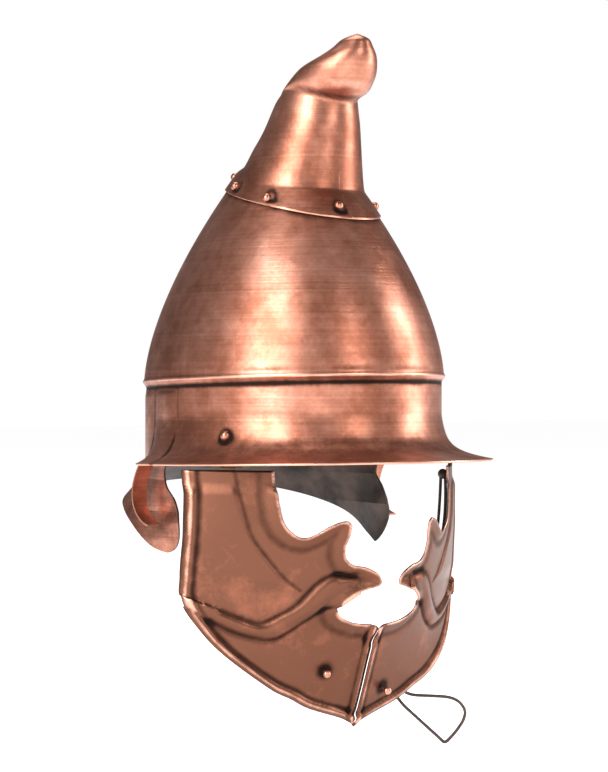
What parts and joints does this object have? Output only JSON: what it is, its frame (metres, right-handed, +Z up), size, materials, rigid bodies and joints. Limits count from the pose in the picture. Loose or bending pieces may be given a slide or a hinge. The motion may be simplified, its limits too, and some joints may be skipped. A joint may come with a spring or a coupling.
{
  "type": "thracian helmet",
  "caption": "Antique copper crested helmet with a peaked brim, a fluted neck guard, hinged beard-shaped cheekpieces and a chin lace.",
  "frame": {"origin": "centre of the head opening, level with the brim's edge at the sides, where the helmet sits on the head", "axes": "+Z up, -Y forwards, -X towards the wearer's right"},
  "size_m": [0.2164, 0.281, 0.4473],
  "materials": {
    "copper_sheet": "antiqued copper, brushed, dark in the grooves",
    "copper_rivet": "antiqued copper, polished heads",
    "hinge_brass": "dull, darkened",
    "lace_leather": "dark brown round lace"
  },
  "bodies": {
    "helmet": {"skull_shell": "copper_sheet", "crest_cap": "copper_sheet", "crest_rivets": "copper_rivet", "neck_guard": "copper_sheet", "ear_flange_right": "copper_sheet", "ear_flange_left": "copper_sheet", "hinge_skull_leaf_right": "hinge_brass", "hinge_skull_leaf_left": "hinge_brass", "hinge_skull_rivet_right": "copper_rivet", "hinge_skull_rivet_left": "copper_rivet", "hinge_pin_right": "hinge_brass", "hinge_pin_left": "hinge_brass"},
    "cheek_right": {"cheekpiece_right": "copper_sheet", "hinge_cheek_leaf_right": "hinge_brass", "tie_stud_right": "copper_rivet", "stud_washer_right": "copper_rivet"},
    "cheek_left": {"cheekpiece_left": "copper_sheet", "hinge_cheek_leaf_left": "hinge_brass", "tie_stud_left": "copper_rivet", "stud_washer_left": "copper_rivet", "chin_lace": "lace_leather", "lace_knot": "lace_leather"}
  },
  "joints": [
    {"name": "cheek_right_hinge", "type": "hinge", "parent": "helmet", "child": "cheek_right", "pos_m": [-0.086, -0.0565, 0.0025], "axis": [-0.6639, 0.7478, 0], "range_deg": [0, 55]},
    {"name": "cheek_left_hinge", "type": "hinge", "parent": "helmet", "child": "cheek_left", "pos_m": [0.086, -0.0565, 0.0025], "axis": [-0.6639, -0.7478, 0], "range_deg": [0, 55]}
  ]
}
